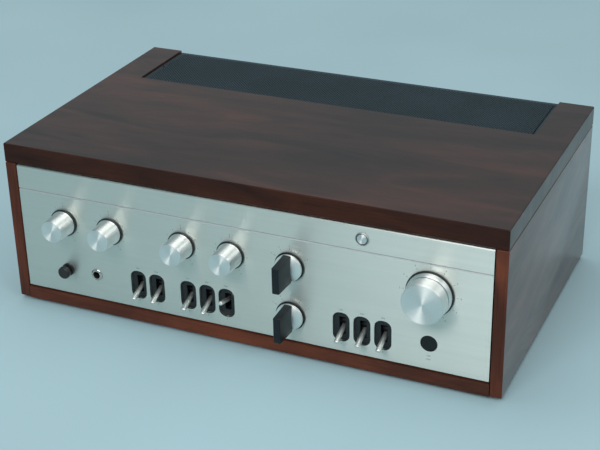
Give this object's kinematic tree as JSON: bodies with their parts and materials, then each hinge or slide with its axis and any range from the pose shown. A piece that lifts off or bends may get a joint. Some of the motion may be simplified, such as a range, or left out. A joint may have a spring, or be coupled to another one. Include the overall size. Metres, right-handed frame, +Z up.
{
  "type": "integrated amplifier",
  "caption": "Integrated stereo amplifier in a veneered wood case, with turned knobs, selector grips, lever switches and push buttons on an aluminium fascia.",
  "frame": {"origin": "on the surface the amplifier stands on, below the middle of its outline", "axes": "+X to the right as seen from the front, +Y to the back, +Z up"},
  "size_m": [0.465, 0.3096, 0.1573],
  "materials": {
    "rosewood": "satin",
    "vent_mesh": "satin",
    "foot_rubber": "matte",
    "satin_aluminium": "brushed",
    "black_plate": "matte",
    "turned_aluminium": "turned",
    "black_plastic": "satin",
    "zinc_steel": "plain",
    "chrome": "polished",
    "phenolic": "matte",
    "dark_bezel": "satin",
    "pilot_lens": "gloss",
    "rear_paint": "satin",
    "terminal_black": "gloss",
    "gland_rubber": "matte",
    "transformer_dark": "satin",
    "capacitor_blue": "satin",
    "black_anodised": "anodised"
  },
  "bodies": {
    "amplifier": {"top_board": "rosewood", "side_board_left": "rosewood", "side_board_right": "rosewood", "bottom_board": "rosewood", "vent_grille": "vent_mesh", "foot_front_left": "foot_rubber", "foot_front_right": "foot_rubber", "foot_rear_left": "foot_rubber", "foot_rear_right": "foot_rubber", "fascia": "satin_aluminium", "control_plate": "black_plate", "left_button_switch": "black_plastic", "power_switch": "black_plastic", "tone_pot_1": "zinc_steel", "tone_pot_2": "zinc_steel", "tone_pot_3": "zinc_steel", "tone_pot_4": "zinc_steel", "selector_switch_upper": "zinc_steel", "selector_switch_lower": "zinc_steel", "volume_pot": "zinc_steel", "chassis_tray": "zinc_steel", "phones_jack": "chrome", "main_board": "phenolic", "input_jacks": "phenolic", "switch_bank_left": "black_plastic", "switch_bank_right": "black_plastic", "pilot_bezel": "dark_bezel", "pilot_lens": "pilot_lens", "rear_panel": "rear_paint", "speaker_terminals": "terminal_black", "outlet_block": "terminal_black", "cord_gland": "gland_rubber", "transformer": "transformer_dark", "filter_capacitors": "capacitor_blue", "heat_sink": "black_anodised"},
    "tone_knob_1": {"tone_core_1": "black_plastic", "tone_cap_1": "turned_aluminium"},
    "tone_knob_2": {"tone_core_2": "black_plastic", "tone_cap_2": "turned_aluminium"},
    "tone_knob_3": {"tone_core_3": "black_plastic", "tone_cap_3": "turned_aluminium"},
    "tone_knob_4": {"tone_core_4": "black_plastic", "tone_cap_4": "turned_aluminium"},
    "selector_upper": {"selector_grip_upper": "black_plastic", "selector_disc_upper": "turned_aluminium"},
    "selector_lower": {"selector_grip_lower": "black_plastic", "selector_disc_lower": "turned_aluminium"},
    "volume": {"volume_knob": "turned_aluminium"},
    "balance": {"balance_ring": "turned_aluminium", "balance_skirt": "black_plastic"},
    "lever_arm_1": {"lever_1": "chrome"},
    "lever_arm_2": {"lever_2": "chrome"},
    "lever_arm_3": {"lever_3": "chrome"},
    "lever_arm_4": {"lever_4": "chrome"},
    "lever_arm_5": {"lever_5": "chrome"},
    "lever_arm_6": {"lever_6": "chrome"},
    "lever_arm_7": {"lever_7": "chrome"},
    "lever_arm_8": {"lever_8": "chrome"},
    "left_push": {"left_button": "black_plastic"},
    "power_push": {"power_button": "black_plastic"}
  },
  "joints": [
    {"name": "tone_turn_1", "type": "hinge", "parent": "amplifier", "child": "tone_knob_1", "pos_m": [-0.17658, -0.12525, 0.0885], "axis": [0, 1, 0], "range_deg": [-150, 150]},
    {"name": "tone_turn_2", "type": "hinge", "parent": "amplifier", "child": "tone_knob_2", "pos_m": [-0.12937, -0.12525, 0.0885], "axis": [0, 1, 0], "range_deg": [-150, 150]},
    {"name": "tone_turn_3", "type": "hinge", "parent": "amplifier", "child": "tone_knob_3", "pos_m": [-0.05759, -0.12525, 0.0885], "axis": [0, 1, 0], "range_deg": [-150, 150]},
    {"name": "tone_turn_4", "type": "hinge", "parent": "amplifier", "child": "tone_knob_4", "pos_m": [-0.01039, -0.12525, 0.0885], "axis": [0, 1, 0], "range_deg": [-150, 150]},
    {"name": "selector_turn_upper", "type": "hinge", "parent": "amplifier", "child": "selector_upper", "pos_m": [0.04508, -0.12525, 0.0885], "axis": [0, 1, 0], "range_deg": [-60, 60]},
    {"name": "selector_turn_lower", "type": "hinge", "parent": "amplifier", "child": "selector_lower", "pos_m": [0.04508, -0.12525, 0.0413], "axis": [0, 1, 0], "range_deg": [-60, 60]},
    {"name": "volume_turn", "type": "hinge", "parent": "amplifier", "child": "volume", "pos_m": [0.16902, -0.12525, 0.0885], "axis": [0, 1, 0], "range_deg": [-150, 150]},
    {"name": "balance_turn", "type": "hinge", "parent": "amplifier", "child": "balance", "pos_m": [0.16902, -0.12525, 0.0885], "axis": [0, 1, 0], "range_deg": [-140, 140]},
    {"name": "lever_throw_1", "type": "hinge", "parent": "amplifier", "child": "lever_arm_1", "pos_m": [-0.10361, -0.11225, 0.0399], "axis": [-1, 0, 0], "range_deg": [0, 33.5]},
    {"name": "lever_throw_2", "type": "hinge", "parent": "amplifier", "child": "lever_arm_2", "pos_m": [-0.08491, -0.11225, 0.0399], "axis": [-1, 0, 0], "range_deg": [0, 33.5]},
    {"name": "lever_throw_3", "type": "hinge", "parent": "amplifier", "child": "lever_arm_3", "pos_m": [-0.05362, -0.11225, 0.0399], "axis": [-1, 0, 0], "range_deg": [0, 33.5]},
    {"name": "lever_throw_4", "type": "hinge", "parent": "amplifier", "child": "lever_arm_4", "pos_m": [-0.03492, -0.11225, 0.0399], "axis": [-1, 0, 0], "range_deg": [0, 33.5]},
    {"name": "lever_throw_5", "type": "hinge", "parent": "amplifier", "child": "lever_arm_5", "pos_m": [-0.01622, -0.11225, 0.0399], "axis": [-1, 0, 0], "range_deg": [-33.5, 0]},
    {"name": "lever_throw_6", "type": "hinge", "parent": "amplifier", "child": "lever_arm_6", "pos_m": [0.09132, -0.11225, 0.0399], "axis": [-1, 0, 0], "range_deg": [0, 33.5]},
    {"name": "lever_throw_7", "type": "hinge", "parent": "amplifier", "child": "lever_arm_7", "pos_m": [0.11001, -0.11225, 0.0399], "axis": [-1, 0, 0], "range_deg": [0, 33.5]},
    {"name": "lever_throw_8", "type": "hinge", "parent": "amplifier", "child": "lever_arm_8", "pos_m": [0.12871, -0.11225, 0.0399], "axis": [-1, 0, 0], "range_deg": [0, 33.5]},
    {"name": "left_push_in", "type": "slide", "parent": "amplifier", "child": "left_push", "axis": [0, 1, 0], "range_m": [0, 0.0025], "stiffness_N_per_m": 300},
    {"name": "power_push_in", "type": "slide", "parent": "amplifier", "child": "power_push", "axis": [0, 1, 0], "range_m": [0, 0.003], "stiffness_N_per_m": 300}
  ]
}
